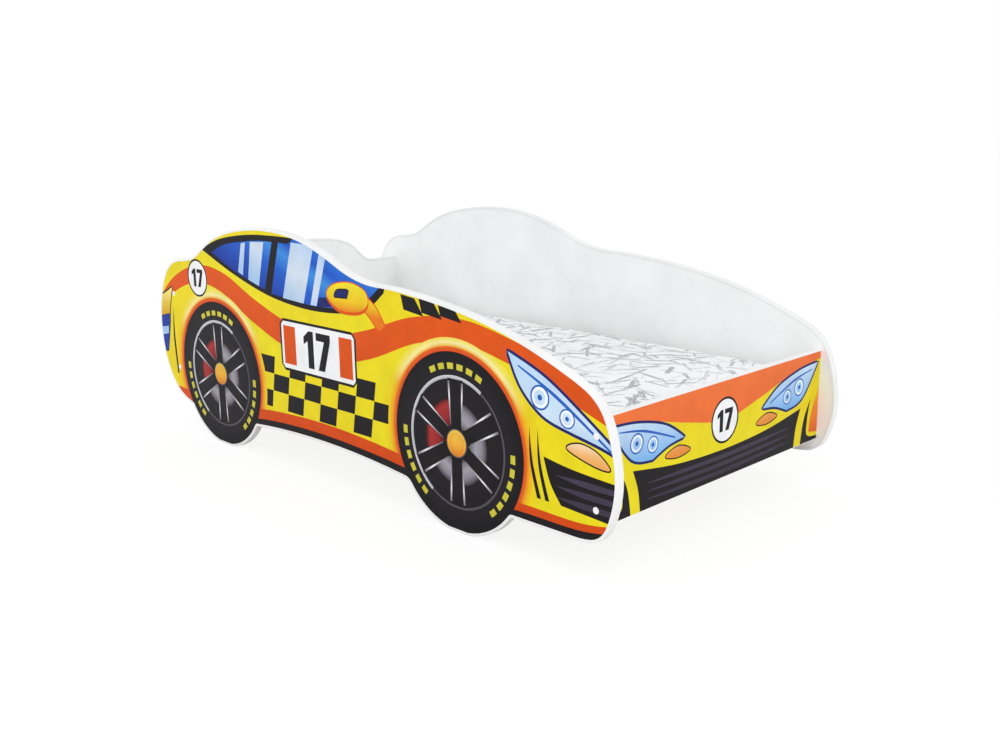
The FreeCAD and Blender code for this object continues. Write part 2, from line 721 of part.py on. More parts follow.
def mattress_section(along):
    """A cut across the mattress at a distance from its middle: soft borders, upright sides and a crowned
    top. Near head and foot it narrows round the corners and thins over the borders."""
    reach = size("mattress_length") / 2
    bow = (along / reach) ** 2
    end = reach - abs(along)
    thin = rounded_off(size("mattress_border"), end)
    half = size("mattress_width") / 2 - size("mattress_waist") * (1 - bow)
    half -= rounded_off(size("mattress_corner"), end)
    low = size("mattress_bottom") + thin
    high = size("mattress_bottom") + size("mattress_height") - size("mattress_end_drop") * bow - thin
    rise = size("mattress_crown") * (1 - bow / 2)
    radius = size("mattress_border") - thin + size("mattress_fold")
    place_x = size("mattress_middle_x") + along

    def point(across, up):
        return VECTOR(place_x, across, up)

    def border(side, up, turn):
        """A quarter round on one side, below (-1) or above (1)."""
        centre_y = side * (half - radius)
        centre_z = up - turn * radius
        middle = point(centre_y + side * radius * DIAGONAL, centre_z + turn * radius * DIAGONAL)
        return Part.Arc(point(centre_y, up), middle, point(side * half, centre_z))

    curves = [
        Part.LineSegment(point(radius - half, low), point(half - radius, low)),
        border(1, low, -1),
        Part.LineSegment(point(half, low + radius), point(half, high - radius)),
        border(1, high, 1),
        Part.Arc(point(half - radius, high), point(0, high + rise), point(radius - half, high)),
        border(-1, high, 1),
        Part.LineSegment(point(-half, high - radius), point(-half, low + radius)),
        border(-1, low, -1),
    ]
    return Part.Wire([curve.toShape() for curve in curves])


def mattress_form():
    """The mattress's outer form, through cuts across it that stand closer together round its corners."""
    reach = size("mattress_length") / 2
    steps = int(size("corner_steps"))
    ends = []
    for step in range(steps + 1):
        turn = math.pi / 2 * step / steps
        ends.append(reach - size("mattress_corner") * (1 - math.cos(turn)))
    stations = ends + [ends[-1] / 2, 0, -ends[-1] / 2] + [-along for along in reversed(ends)]
    return Part.makeLoft([mattress_section(along) for along in stations], True, True)


def foam_block():
    """The foam core: a block with chamfered corners and edges, inside the mattress's outer form."""
    cover = size("cover_thickness")
    length = size("mattress_length") - 2 * cover
    width = size("mattress_width") - 2 * (size("mattress_waist") + cover)
    height = size("mattress_height") - size("mattress_end_drop") - 2 * cover
    corner = VECTOR(size("mattress_middle_x") - length / 2, -width / 2, size("mattress_bottom") + cover)
    block = Part.makeBox(length, width, height, corner)
    upright = [edge for edge in block.Edges if abs(edge.tangentAt(0).z) > LEVEL]
    block = block.makeChamfer(size("foam_corner"), upright)
    borders = []
    for face in block.Faces:
        if abs(face.normalAt(0, 0).z) > LEVEL:
            borders.extend(face.Edges)
    return block.makeChamfer(size("mattress_border") - cover, borders)


def make_mattress():
    """Foam core in a closed cover."""
    foam = foam_block()
    return [feature("mattress_foam", foam), feature("mattress_cover", mattress_form().cut(foam))]


# ---------------------------------------------------------------------------------------------------------
# Assembly
# ---------------------------------------------------------------------------------------------------------

def main():
    """Every piece of the bed, each under its own name."""
    play = size("screw_play")
    panel_screw = countersunk("confirmat", "confirmat_length")
    rail_screw = countersunk("wood_screw", "rail_screw_length")
    slat_screw = countersunk("wood_screw", "slat_screw_length")
    panel_room = countersunk("confirmat", "confirmat_length", play)
    rail_room = countersunk("wood_screw", "rail_screw_length", play)
    slat_room = countersunk("wood_screw", "slat_screw_length", play)
    pieces = []

    front_holes = feature("front_screw_holes", spread(panel_room, front_screw_spots()))
    head_holes = feature("head_screw_holes", spread(panel_room, head_screw_spots()))
    rail_holes = feature("rail_screw_holes", spread(rail_room, rail_screw_spots()))
    end_holes = feature("slat_screw_holes", spread(slat_room, slat_screw_spots()))
    staple_holes = feature("staple_holes", spread(staple(play), staple_spots()))

    outline = make_outline()
    outward = VECTOR(0, RIGHT, 0)
    front = flat_face(outline.Shape, outward)
    board = make_panel_board(outline)
    panel_holes = DOC.addObject("Part::Compound", "panel_holes")
    panel_holes.Links = [front_holes, head_holes, rail_holes]
    right_panel = cut("side_panel_right", board, panel_holes)
    left_panel = DOC.addObject("Part::Mirroring", "side_panel_left")
    left_panel.Source = right_panel
    left_panel.Normal = VECTOR(0, 1, 0)
    pieces.extend([right_panel, left_panel])

    outer = loop_in(front, 0)
    window = loop_in(front, size("profile_rim") + size("profile_lip"))
    ring = clip_on_profile(outer, window, board.Shape, outward, size("panel_thickness"))
    right_profile = feature("edge_profile_right", ring)
    left_profile = DOC.addObject("Part::Mirroring", "edge_profile_left")
    left_profile.Source = right_profile
    left_profile.Normal = VECTOR(0, 1, 0)
    pieces.extend([right_profile, left_profile])

    pieces.extend(make_front_panel(front_holes))
    pieces.extend(make_headboard(head_holes))
    pieces.extend(make_rails(rail_holes, end_holes))
    pieces.extend(make_slats(end_holes, staple_holes))
    pieces.extend(make_tapes(staple_holes))
    pieces.extend(make_mattress())

    pieces.append(feature("slat_staples", spread(staple(), staple_spots())))
    pieces.append(feature("front_panel_screws", spread(panel_screw, front_screw_spots())))
    pieces.append(feature("headboard_screws", spread(panel_screw, head_screw_spots())))
    pieces.append(feature("front_screw_caps", spread(cover_cap(), front_screw_spots())))
    pieces.append(feature("headboard_screw_caps", spread(cover_cap(), head_screw_spots())))
    pieces.append(feature("rail_screws", spread(rail_screw, rail_screw_spots())))
    pieces.append(feature("end_slat_screws", spread(slat_screw, slat_screw_spots())))
    for piece in pieces:
        piece.Label = piece.Name
    DOC.recompute()
    return pieces


def check(pieces):
    """Stop if anything failed to build."""
    for item in DOC.Objects:
        if "Invalid" in item.State or "Error" in item.State:
            raise RuntimeError(f"{item.Name} did not build: {item.State}")
    for piece in pieces:
        if piece.Shape.isNull() or not piece.Shape.isValid():
            raise RuntimeError(f"{piece.Label} has no valid shape")


PIECES = main()
check(PIECES)
os.makedirs("parts", exist_ok=True)
for part in PIECES:
    part.Shape.exportStep(f"parts/{part.Label}.step")
    bounds = part.Shape.BoundBox
    print(f"{part.Label}: {len(part.Shape.Solids)} solids, {part.Shape.Volume / 1000:.1f} cm3,"
          f" x {bounds.XMin:.1f} {bounds.XMax:.1f} y {bounds.YMin:.1f} {bounds.YMax:.1f}"
          f" z {bounds.ZMin:.1f} {bounds.ZMax:.1f}")
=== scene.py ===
"""Looks for a child's racing-car bed, dressed over its CAD frame. Metres, in the frame's own axes: +X to the
nose, +Y to the car's left side, +Z up. The printed car is laid out in millimetres in each board's own plane."""
import json
import math

import bmesh
import bpy
from mathutils import Matrix, Vector, noise
from mathutils.geometry import delaunay_2d_cdt, interpolate_bezier


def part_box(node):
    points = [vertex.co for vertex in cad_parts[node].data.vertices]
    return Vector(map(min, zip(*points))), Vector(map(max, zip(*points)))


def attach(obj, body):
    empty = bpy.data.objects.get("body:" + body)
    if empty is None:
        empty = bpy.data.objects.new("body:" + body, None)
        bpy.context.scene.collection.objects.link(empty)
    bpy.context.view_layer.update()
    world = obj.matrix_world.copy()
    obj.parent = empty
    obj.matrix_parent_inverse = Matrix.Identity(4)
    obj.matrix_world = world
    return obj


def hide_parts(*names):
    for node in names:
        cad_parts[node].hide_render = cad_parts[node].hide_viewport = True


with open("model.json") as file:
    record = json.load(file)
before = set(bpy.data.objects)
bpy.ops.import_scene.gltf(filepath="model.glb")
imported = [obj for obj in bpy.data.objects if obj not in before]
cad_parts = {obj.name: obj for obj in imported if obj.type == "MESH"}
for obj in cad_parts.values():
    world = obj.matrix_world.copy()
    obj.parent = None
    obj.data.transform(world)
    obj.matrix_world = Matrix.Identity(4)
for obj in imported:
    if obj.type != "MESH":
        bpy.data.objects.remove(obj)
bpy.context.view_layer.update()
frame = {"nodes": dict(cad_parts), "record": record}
NODES = frame["nodes"]
MM = 0.001

# A side panel's outer and inner face, in millimetres from the bed's middle
PANEL_FACE, PANEL_BACK = [-corner.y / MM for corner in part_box("side_panel_right")]
# The printed wheels' hubs: over the points that the bed rests on, at this height in millimetres
HUB_HEIGHT = 182.0
HUBS = sorted((mount["pos_m"][0] / MM, HUB_HEIGHT) for mount in frame["record"]["mounts"]
              if mount["name"] in ("rest_rear_right", "rest_front_right"))
# The print in millimetres: its thickness, how far it runs under the edging, and its gap to the side panels
PRINT_DEPTH = 0.25
PRINT_OVERLAP = 0.1
PRINT_GAP = 0.2
# The edging in millimetres: its lip over each face, its rim past the board's edge and the lip's thickness
LIP = 4.0
RIM = 2.0
LIP_DEPTH = 1.0


# ---- Finishes ----

# A Mix node's sockets for colours: its share, its two colours, and the result
MIX_INPUTS = (0, 6, 7)
MIX_RESULT = 2


def paint(code):
    """A colour written as RRGGBB, as the shader wants it."""
    values = [int(code[i:i + 2], 16) / 255 for i in (0, 2, 4)]
    linear = [v / 12.92 if v <= 0.04045 else ((v + 0.055) / 1.055) ** 2.4 for v in values]
    return (*linear, 1.0)


class Nodes:
    """A node tree in the making."""

    def __init__(self, tree):
        self.tree = tree

    def feed(self, socket, value):
        """Link a socket to another node's, or give it a plain value. None leaves it as it is."""
        if isinstance(value, bpy.types.NodeSocket):
            self.tree.links.new(value, socket)
        elif value is not None:
            socket.default_value = value

    def node(self, kind, *inputs, **settings):
        """A node with its inputs in order."""
        made = self.tree.nodes.new("ShaderNode" + kind)
        for key, value in settings.items():
            setattr(made, key, value)
        for socket, value in zip(made.inputs, inputs):
            self.feed(socket, value)
        return made

    def math(self, operation, *inputs):
        return self.node("Math", *inputs, operation=operation).outputs[0]

    def vector(self, operation, *inputs):
        return self.node("VectorMath", *inputs, operation=operation).outputs[0]


class Finish(Nodes):
    """A material in the making."""

    def __init__(self, name, roughness, ior=1.5):
        self.material = bpy.data.materials.new(name)
        self.material.use_nodes = True
        super().__init__(self.material.node_tree)
        self.shader = self.tree.nodes["Principled BSDF"]
        self.set("Roughness", roughness)
        self.set("IOR", ior)
        self.coords = self.node("TexCoord").outputs["Object"]

    def set(self, name, value):
        """Feed one of the shader's own inputs."""
        self.feed(self.shader.inputs[name], value)

    def ramp(self, value, *stops):
        """A colour by a value, through (place, RRGGBB) stops."""
        made = self.node("ValToRGB", value)
        elements = made.color_ramp.elements
        while len(elements) < len(stops):
            elements.new(0.5)
        for element, (place, code) in zip(elements, stops):
            element.position = place
            element.color = paint(code)
        return made.outputs["Color"]

    def share(self, value, low, high):
        """How far a value is on its way from low to high, from 0 to 1."""
        return self.node("MapRange", value, low, high).outputs[0]

    def span(self, value, low, high, start=0.0, end=1.0):
        """A value from low to high, turned smoothly into one from start to end."""
        return self.node("MapRange", value, low, high, start, end, interpolation_type="SMOOTHSTEP").outputs[0]

    def wave(self, value, pitch):
        """A sine wave along a value, of that pitch in millimetres."""
        return self.math("SINE", self.math("MULTIPLY", value, 2 * math.pi / (pitch * MM)))

    def mix(self, share, first, second, blend="MIX"):
        made = self.node("Mix", data_type="RGBA", blend_type=blend)
        for place, value in zip(MIX_INPUTS, (share, first, second)):
            self.feed(made.inputs[place], value)
        return made.outputs[MIX_RESULT]

    def clouded(self, colour, grain, code, low=0.3, high=0.7):
        """A colour tinted where a grain is low."""
        return self.mix(1.0, colour, self.ramp(grain, (low, code), (high, "FFFFFF")), "MULTIPLY")

    def grain(self, size, detail=2.0, stretch=(1, 1, 1)):
        """Noise with features of about that size in millimetres."""
        places = self.node("Mapping", self.coords, None, None, stretch).outputs[0]
        return self.node("TexNoise", places, None, 1 / (size * MM), detail).outputs[0]

    def split(self):
        """X, Y and Z of the piece's own coordinates."""
        return self.node("SeparateXYZ", self.coords).outputs

    def colour(self, value):
        self.set("Base Color", value)

    def rough(self, grain, low, high):
        """Roughness that follows a grain, from low to high."""
        self.set("Roughness", self.span(grain, 0.3, 0.7, low, high))

    def bump(self, height, depth):
        """Relief of that depth in millimetres."""
        made = self.node("Bump", 1.0, depth * MM)
        self.feed(made.inputs["Height"], height)
        self.set("Normal", made.outputs[0])

    def hub_distance(self):
        """Distance in millimetres from the nearer wheel's hub, in the side panel's plane."""
        x, _, z = self.split()
        up = self.math("SUBTRACT", z, HUB_HEIGHT * MM)
        spans = []
        for along, _ in HUBS:
            out = self.math("SUBTRACT", x, along * MM)
            square = self.math("ADD", self.math("MULTIPLY", out, out), self.math("MULTIPLY", up, up))
            spans.append(self.math("SQRT", square))
        return self.math("DIVIDE", self.math("MINIMUM", *spans), MM)


def print_finish(finish, colour):
    """Satin ink on coated board: cloudy by a few percent, with a fine orange peel."""
    finish.colour(finish.clouded(colour, finish.grain(45, 3), "F2F2F2"))
    finish.rough(finish.grain(9, 4), 0.36, 0.48)
    finish.bump(finish.grain(1.6, 2), 0.02)
    return finish.material


def ink(name):
    """The start of a printed colour: a satin varnish that mirrors little of the room."""
    return Finish(name, 0.42, 1.2)


def plain_ink(name, code):
    return print_finish(ink(name), paint(code))


def yellow_ink():
    """Body colour: it deepens to orange at the wheel arches, with a pale glow above them."""
    finish = ink("ink_yellow")
    height = finish.split()[2]
    out = finish.share(finish.hub_distance(), 178, 228)
    low = finish.ramp(out, (0.0, "D8461A"), (0.16, "E4641C"), (0.30, "EFA41E"), (0.55, "EDD01A"),
                      (1.0, "ECDB1A"))
    high = finish.ramp(out, (0.0, "D8461A"), (0.20, "E2601C"), (0.27, "EFC45A"), (0.38, "F6ECA8"),
                       (0.52, "F1E26A"), (0.8, "EDDC1C"))
    body = finish.mix(finish.span(height, 0.26, 0.33), low, high)
    return print_finish(finish, finish.clouded(body, finish.grain(260, 1), "FFF8E8", 0.40, 0.58))


def faded_ink(name, low, high, *stops):
    """Ink that changes with height, between two places in millimetres."""
    finish = ink(name)
    height = finish.split()[2]
    return print_finish(finish, finish.ramp(finish.share(height, low * MM, high * MM), *stops))


def ringed_ink(name, low, high, *stops):
    """Ink that changes with the distance from a wheel's hub."""
    finish = ink(name)
    return print_finish(finish, finish.ramp(finish.share(finish.hub_distance(), low, high), *stops))


def glass_ink(name, *stops):
    """Printed window glass: bands of blue that run slanted along the car."""
    finish = ink(name)
    x, _, z = finish.split()
    slant = finish.math("ADD", finish.math("MULTIPLY", x, 0.35), z)
    return print_finish(finish, finish.ramp(finish.share(slant, 0.32, 0.56), *stops))


def board_finish(name, code, roughness):
    """Melamine-faced board with a fine pearl."""
    finish = Finish(name, roughness)
    finish.colour(finish.clouded(paint(code), finish.grain(120, 3), "F6F6F6"))
    finish.rough(finish.grain(6, 3), roughness - 0.05, roughness + 0.05)
    finish.bump(finish.grain(1.1, 3), 0.03)
    return finish.material


def pine_finish(name, along):
    """Planed pine, with its grain along X (0) or Y (1)."""
    finish = Finish(name, 0.6)
    stretch = (0.05, 1, 1) if along == 0 else (1, 0.05, 1)
    rings = finish.grain(9, 4, stretch)
    lines = finish.grain(1.6, 3, stretch)
    wood = finish.ramp(rings, (0.3, "EBD3A6"), (0.5, "E6CB98"), (0.62, "DCB880"), (0.75, "EAD2A4"))
    finish.colour(finish.clouded(wood, lines, "EBE5D8", 0.35, 0.65))
    finish.rough(lines, 0.52, 0.7)
    finish.bump(lines, 0.15)
    return finish.material


def webbing_finish():
    """Woven polypropylene tape, with painted shade where the weave lies low."""
    finish = Finish("webbing_weave", 0.75)
    x, y, _ = finish.split()
    weave = finish.math("MULTIPLY", finish.wave(y, 2.2), finish.wave(x, 3.0))
    # The colour is darker where the weave's relief is low: painted shade in the weave's hollows.
    finish.colour(finish.ramp(finish.span(weave, -1.0, 1.0), (0.0, "B9B4A6"), (1.0, "E6E2D6")))
    finish.bump(weave, 0.25)
    return finish.material


def metal_finish(name, code, roughness):
    """Zinc-plated steel with fine turning marks."""
    finish = Finish(name, roughness)
    finish.set("Metallic", 1.0)
    finish.colour(finish.clouded(paint(code), finish.grain(4, 3), "D5D5CF"))
    finish.rough(finish.grain(1.2, 3), roughness - 0.08, roughness + 0.08)
    finish.bump(finish.grain(0.5, 2), 0.01)
    return finish.material


def stroke_layer(finish, cell, length, width, seed):
    """Brush strokes scattered over the cloth, one to a cell and each turned its own way: 1 on a stroke and 0
    off it. Height is added to both ways across, so that the strokes carry on down the sides."""
    wander, soft_side = 6 * MM, 0.6 * MM
    x, y, z = finish.split()
    laid = finish.node("CombineXYZ", finish.math("ADD", x, z), finish.math("ADD", y, z), 0.0).outputs[0]
    moved = finish.node("Mapping", laid, (seed, seed * 0.7, 0)).outputs[0]
    wobble = finish.node("TexNoise", moved, None, 26.0, 2.0).outputs["Color"]
    offset = finish.vector("SUBTRACT", wobble, (0.5, 0.5, 0.5))
    bent = finish.vector("ADD", moved, finish.vector("SCALE", offset, None, None, wander))
    cells = finish.node("TexVoronoi", bent, None, 1 / (cell * MM), voronoi_dimensions="2D")
    out = finish.vector("SUBTRACT", bent, cells.outputs["Position"])
    chance = finish.node("SeparateColor", cells.outputs["Color"]).outputs
    turn = finish.math("MULTIPLY", chance[0], 2 * math.pi)
    local = finish.node("VectorRotate", out, None, (0, 0, 1), turn).outputs[0]
    x, y, _ = finish.node("SeparateXYZ", local).outputs
    half_width = finish.math("MULTIPLY", chance[1], width * MM)
    inside = finish.math("SUBTRACT", half_width, finish.math("ABSOLUTE", y))
    side = finish.span(inside, -soft_side, soft_side)
    end = finish.span(finish.math("ABSOLUTE", x), length * MM * 0.5, length * MM * 0.32)
    dry = finish.span(finish.node("TexNoise", finish.coords, None, 420.0, 3.0).outputs[0], 0.36, 0.52)
    return finish.math("MULTIPLY", finish.math("MULTIPLY", side, end), dry)


def mattress_finish():
    """White knitted cover with scattered grey strokes on its top and sides."""
    finish = Finish("mattress_knit", 0.85)
    finish.set("Sheen Weight", 0.25)
    finish.set("Sheen Roughness", 0.5)
    strokes = stroke_layer(finish, 66, 96, 8.0, 0.0)
    for cell, length, width, seed in ((54, 80, 6.0, 3.7), (80, 112, 5.0, 8.1), (60, 88, 3.6, 12.9)):
        strokes = finish.math("MAXIMUM", strokes, stroke_layer(finish, cell, length, width, seed))
    depth = finish.math("MULTIPLY", strokes, finish.span(finish.grain(60, 2), 0.3, 0.65, 0.45, 0.95))
    white = finish.ramp(finish.grain(160, 3), (0.3, "F5F5F7"), (0.7, "FBFBFC"))
    finish.colour(finish.mix(depth, white, paint("7E7F86")))
    x, y, z = finish.split()
    loops = finish.wave(x, 1.6)
    rows = finish.wave(finish.math("ADD", y, z), 1.3)
    finish.bump(finish.math("MULTIPLY", loops, rows), 0.12)
    return finish.material


INKS = {
    "yellow": yellow_ink(),
    "red": faded_ink("ink_orange_red", 100, 420, (0.0, "D64A0C"), (1.0, "E0560F")),
    "orange": faded_ink("ink_orange", 180, 310, (0.0, "EE6A2A"), (1.0, "F0763A")),
    "black": plain_ink("ink_black", "1A171B"),
    "tyre": ringed_ink("ink_tyre", 120, 184, (0.0, "17151A"), (0.35, "1F1C22"), (0.7, "18161B"),
                       (1.0, "141217")),
    "well": ringed_ink("ink_rim_well", 25, 128, (0.0, "2A262C"), (0.5, "1F1B21"), (1.0, "19161B")),
    "disc": ringed_ink("ink_brake_disc", 30, 84, (0.0, "2A262C"), (0.45, "A29EA8"), (0.75, "8A8691"),
                       (1.0, "39353D")),
    "caliper": ringed_ink("ink_caliper", 30, 88, (0.0, "3A1013"), (0.45, "98282B"), (0.8, "A93030"),
                          (1.0, "4A1618")),
    "spoke": ringed_ink("ink_spoke", 25, 130, (0.0, "121014"), (0.6, "1B181D"), (1.0, "151216")),
    "rim": ringed_ink("ink_rim_shade", 126, 134, (0.0, "2B282F"), (0.5, "5A5660"), (1.0, "2B282F")),
    "silver": ringed_ink("ink_silver", 30, 134, (0.0, "55535A"), (0.35, "9C9AA2"), (0.62, "F2F2F5"),
                         (0.86, "7E7C84"), (0.93, "A9A8B0"), (1.0, "D6D6DB")),
    "cap": faded_ink("ink_hub_cap", 156, 208, (0.0, "D97F22"), (0.5, "F0B23C"), (1.0, "E4C04A")),
    "mark": plain_ink("ink_tyre_mark", "CFC63E"),
    "glass": glass_ink("ink_glass", (0.0, "173B9E"), (0.32, "1F5FCB"), (0.5, "3E8FE0"), (0.62, "1B55C2"),
                       (0.8, "2C79DA"), (1.0, "16389C")),
    "shine": glass_ink("ink_glass_shine", (0.0, "9FC4EA"), (0.4, "D3DEEC"), (0.7, "BFD6EF"), (1.0, "86B9EA")),
    "navy": plain_ink("ink_navy", "1B2568"),
    "lamp": faded_ink("ink_lamp", 200, 380, (0.0, "7FB6EC"), (0.45, "CFE3F5"), (1.0, "B4D4F1")),
    "lens": faded_ink("ink_lens", 220, 350, (0.0, "E8F3FB"), (1.0, "F6FAFD")),
    "divider": plain_ink("ink_divider", "2C62BA"),
    "amber": faded_ink("ink_amber", 185, 255, (0.0, "E98F38"), (0.6, "F2B66C"), (1.0, "F9E4C8")),
    "signal": faded_ink("ink_signal", 290, 375, (0.0, "D08A1C"), (0.45, "E8C23A"), (1.0, "F3E88A")),
    "mirror": faded_ink("ink_mirror", 398, 458, (0.0, "E57A1C"), (0.4, "EFC51B"), (1.0, "F3E02C")),
    "flame": faded_ink("ink_flame", 118, 215, (0.0, "E4622A"), (0.6, "F08A2C"), (1.0, "F2B428")),
    "bar": faded_ink("ink_grille_bar", 118, 190, (0.0, "3A3243"), (1.0, "463D50")),
    "white": plain_ink("ink_white", "F3F3F4"),
}
EDGING = board_finish("edging_white", "F2F2F1", 0.5)
WHITE_BOARD = board_finish("board_white", "FAFAF9", 0.45)
CAP_PLASTIC = board_finish("cap_white", "F4F4F3", 0.3)
STEEL = metal_finish("steel_zinc", "C9C9C4", 0.35)


# ---- Flat outlines for the print, in millimetres: u runs along the board and v up it ----

# Steps between two points of a smooth line and round a disc, degrees between a ring's points, and how near
# two points may lie before they are one
RUN_STEPS = 7
DISC_STEPS = 96
RING_STEP = 5
SAME_PLACE = 0.01


def run(points, closed=False):
    """A smooth line through points. One point or two stay as they are."""
    if len(points) < 3:
        return list(points)
    places = [Vector((u, v, 0)) for u, v in points]
    last = len(places) - 1
    line = []
    for index in range(last + 1 if closed else last):
        here, there = places[index], places[(index + 1) % len(places)]
        before = places[index - 1] if closed or index else here
        after = places[(index + 2) % len(places)] if closed or index + 2 <= last else there
        handles = (here, here + (there - before) / 6, there - (after - here) / 6, there)
        line.extend(p.to_2d().to_tuple() for p in interpolate_bezier(*handles, RUN_STEPS + 1)[:-1])
    if not closed:
        line.append(points[-1])
    return line


def outline(*runs):
    """A closed outline of smooth runs, joined by straight lines where they don't meet."""
    line = []
    for points in runs:
        for place in run(points):
            if not line or math.dist(line[-1], place) > SAME_PLACE:
                line.append(place)
    return line[:-1] if math.dist(line[0], line[-1]) < SAME_PLACE else line


def blob(*points):
    """A closed outline without corners."""
    return run(points, closed=True)


def arc(centre, radius, turns):
    """Points on a circle, at angles in radians."""
    return [(centre[0] + radius * math.cos(t), centre[1] + radius * math.sin(t)) for t in turns]


def ring_part(centre, inner, outer, begin, end):
    """Part of a ring, between two angles in degrees."""
    steps = max(3, round(abs(end - begin) / RING_STEP))
    turns = [math.radians(begin + (end - begin) * i / steps) for i in range(steps + 1)]
    return arc(centre, outer, turns) + arc(centre, inner, turns[::-1])


def disc(centre, radius):
    return arc(centre, radius, [2 * math.pi * i / DISC_STEPS for i in range(DISC_STEPS)])


def beam(centre, angle, inner, outer, start, end, aside=0.0):
    """A straight radial bar from an inner to an outer radius: its half widths there, and its shift aside."""
    along = Vector((math.cos(math.radians(angle)), math.sin(math.radians(angle))))
    across = Vector((-along.y, along.x))
    middle = Vector(centre) + across * aside
    corners = ((inner, -start), (outer, -end), (outer, end), (inner, start))
    return [tuple(middle + along * far + across * wide) for far, wide in corners]


def ribbon(stations):
    """A band of varying width along a smooth line: (u, v, width) stations."""
    line = run([(u, v) for u, v, _ in stations])
    points_each = (len(line) - 1) / (len(stations) - 1)
    upper, lower = [], []
    for index, (u, v) in enumerate(line):
        before, after = line[max(index - 1, 0)], line[min(index + 1, len(line) - 1)]
        along = Vector((after[0] - before[0], after[1] - before[1])).normalized()
        place = index / points_each
        left = min(int(place), len(stations) - 2)
        width = stations[left][2] + (stations[left + 1][2] - stations[left][2]) * (place - left)
        upper.append((u - along.y * width / 2, v + along.x * width / 2))
        lower.append((u + along.y * width / 2, v - along.x * width / 2))
    return upper + lower[::-1]


def turned(line, side):
    """A line as it is (1), or mirrored about the board's middle (-1)."""
    return [(side * u, v) for u, v in line]


def anticlockwise(line):
    """A closed outline with its inside on the left."""
    area = sum(a[0] * b[1] - b[0] * a[1] for a, b in zip(line, line[1:] + line[:1]))
    return line if area > 0 else line[::-1]


def swollen(line, amount):
    """A closed outline moved outwards by an amount, or inwards by a negative one."""
    line = anticlockwise(line)
    moved = []
    for index, (u, v) in enumerate(line):
        before, after = line[index - 1], line[(index + 1) % len(line)]
        along = Vector((after[0] - before[0], after[1] - before[1])).normalized()
        moved.append((u + along.y * amount, v - along.x * amount))
    return moved


def number(centre, height):
    """The race number's two figures, to be read from the front."""
    one = [(0.20, 0.0), (0.46, 0.0), (0.46, 1.0), (0.26, 1.0), (0.02, 0.82), (0.02, 0.62), (0.20, 0.72)]
    seven = [(0.58, 1.0), (1.20, 1.0), (1.20, 0.82), (0.92, 0.0), (0.64, 0.0), (0.93, 0.79), (0.58, 0.79)]
    left, low = centre[0] - 0.61 * height, centre[1] - height / 2
    return [[(left + u * height, low + v * height) for u, v in figure] for figure in (one, seven)]


class Layout:
    """Printed shapes in the order that they are laid down. A shape that is read keeps its middle, and isn't
    mirrored with the other side's print."""

    def __init__(self):
        self.shapes = []

    def add(self, ink, line, read_about=None):
        self.shapes.append((ink, line, read_about))

    def bordered(self, ink, border, line, width):
        self.add(border, swollen(line, width))
        self.add(ink, line)

    def lens(self, centre, radius):
        """A round lamp lens with its ring and its dark middle."""
        for ink, share in (("divider", 1), ("lens", 0.84), ("lamp", 0.6), ("divider", 0.24)):
            self.add(ink, disc(centre, radius * share))

    def roundel(self, centre, radius):
        self.add("black", disc(centre, radius))
        self.add("white", disc(centre, radius * 0.9))
        self.numbered(centre, radius * 0.95)

    def numbered(self, centre, height):
        for figure in number(centre, height):
            self.add("black", figure, centre[0])

    def mirrored(self):
        twin = Layout()
        for ink, line, middle in self.shapes:
            if middle is not None:
                line = [(2 * middle - u, v) for u, v in line]
            twin.add(ink, line, middle)
        return twin


# ---- The printed car ----

def print_wheel(layout, hub):
    """Black tyre with three dashed yellow arcs, silver rim edge, six double spokes, disc and caliper."""
    layout.add("tyre", disc(hub, 180))
    for middle in (90, 205, 335):
        for turn in (-25, -15, -5, 5, 15, 25):
            layout.add("mark", ring_part(hub, 146, 158, middle + turn - 3.2, middle + turn + 3.2))
    layout.add("silver", ring_part(hub, 126, 134, 58, 236))
    layout.add("rim", ring_part(hub, 127.5, 133, 236, 418))
    layout.add("well", disc(hub, 127))
    layout.add("disc", disc(hub, 84))
    layout.add("caliper", ring_part(hub, 30, 88, 98, 202))
    for index in range(6):
        angle = 90 + 60 * index
        layout.add("spoke", beam(hub, angle, 18, 127, 15, 22))
        for side in (-1, 1):
            layout.add("silver", beam(hub, angle + side * 2.6, 36, 122, 1.0, 2.4, side * 13.5))
    layout.add("silver", disc(hub, 29))
    layout.add("cap", disc(hub, 26.5))
    layout.add("flame", ring_part(hub, 17.5, 19.5, 0, 355))


def print_chequers(layout):
    """Three leaning rows of squares along the door's foot."""
    start, foot, pitch, height, lean = -322, 139, 62, 41, 0.18
    rise = height * lean
    for row in range(3):
        low = foot + row * height
        for column in range(row % 2, 8, 2):
            left = start + column * pitch + (low - foot) * lean
            layout.add("black", [(left, low), (left + pitch, low), (left + pitch + rise, low + height),
                                 (left + rise, low + height)])


def print_glass(layout):
    """Side window: dark frame, a slanted pillar, and straight reflections."""
    layout.add("black", outline([(172, 452), (96, 406), (-60, 388), (-230, 400), (-390, 438), (-536, 488)],
                                [(-536, 488), (-450, 518), (-330, 536), (-210, 541), (-120, 540)],
                                [(-60, 575), (190, 520)]))
    layout.add("glass", outline([(-262, 415), (-390, 448), (-488, 484)],
                                [(-488, 484), (-420, 508), (-300, 524), (-222, 527)]))
    layout.add("glass", outline([(-236, 409), (-60, 399), (84, 417), (158, 462)], [(190, 560)],
                                [(-110, 575), (-150, 531), (-196, 528)]))
    for reflection in ([(-330, 432), (-286, 421), (-256, 524), (-312, 521)],
                       [(-372, 447), (-352, 440), (-334, 518), (-352, 515)],
                       [(-190, 404), (-110, 400), (-62, 530), (-146, 531)],
                       [(-84, 400), (-62, 400), (-16, 520), (-40, 524)]):
        layout.add("shine", reflection)
    layout.add("navy", outline([(-60, 398), (84, 416), (120, 437)], [(120, 437), (20, 427), (-52, 420)]))


